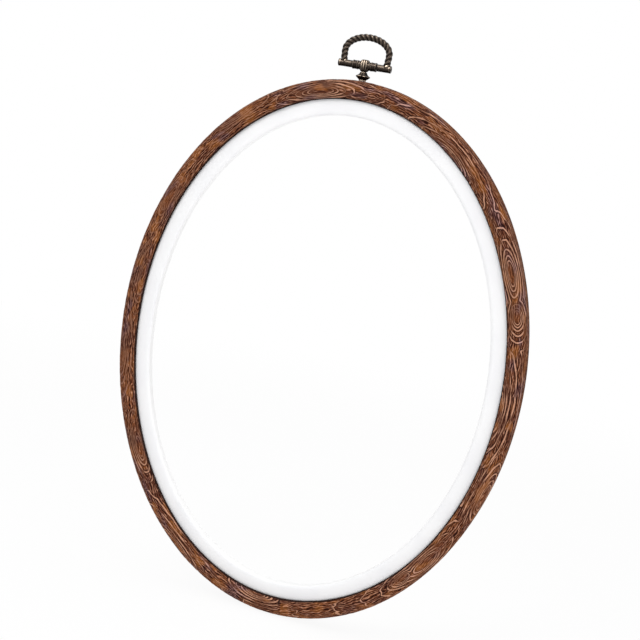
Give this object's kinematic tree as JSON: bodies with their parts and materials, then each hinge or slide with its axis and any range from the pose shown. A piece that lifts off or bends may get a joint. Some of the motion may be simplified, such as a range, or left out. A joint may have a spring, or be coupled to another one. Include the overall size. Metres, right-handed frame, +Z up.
{
  "type": "embroidery hoop",
  "caption": "Oval embroidery hoop: a soft wood-grain outer hoop snapped over a white inner hoop, with a rope-twist hanging bail on a swivelling head.",
  "frame": {"origin": "point inside the top of the bail where the nail or hook that carries the hoop touches it", "axes": "+Z up along the long axis of the oval as it hangs, -Y the worked front, +Y the flat back, +X to the right seen from the front"},
  "size_m": [0.1674, 0.0098, 0.2352],
  "materials": {
    "wood_grain_vinyl": "soft vinyl moulded with relief grain and stained like dark reddish-brown wood, low satin sheen",
    "white_plastic": "stiff white injection-moulded plastic, satin gloss",
    "antique_bronze": "antique bronze plating, near black in the grooves and rubbed to warm beige on the high spots",
    "steel": "bright zinc-plated steel"
  },
  "bodies": {
    "bail": {"bail": "antique_bronze", "axle_pin": "antique_bronze"},
    "hanger_head": {"hanger_head": "antique_bronze", "collar_left": "antique_bronze", "collar_right": "antique_bronze", "petal_cap": "antique_bronze", "hanger_screw": "steel"},
    "outer_hoop": {"outer_hoop": "wood_grain_vinyl", "screw_washer": "steel"},
    "inner_hoop": {"inner_hoop": "white_plastic"}
  },
  "joints": [
    {"name": "hanger_swing", "type": "hinge", "parent": "bail", "child": "hanger_head", "pos_m": [0, 0, -0.00925], "axis": [1, 0, 0], "range_deg": [-110, 110]},
    {"name": "hanger_swivel", "type": "hinge", "parent": "hanger_head", "child": "outer_hoop", "pos_m": [0, 0, -0.01515], "axis": [0, 0, 1], "continuous": true},
    {"name": "inner_hoop_release", "type": "slide", "parent": "outer_hoop", "child": "inner_hoop", "axis": [0, 1, 0], "range_m": [0, 0.02]}
  ]
}
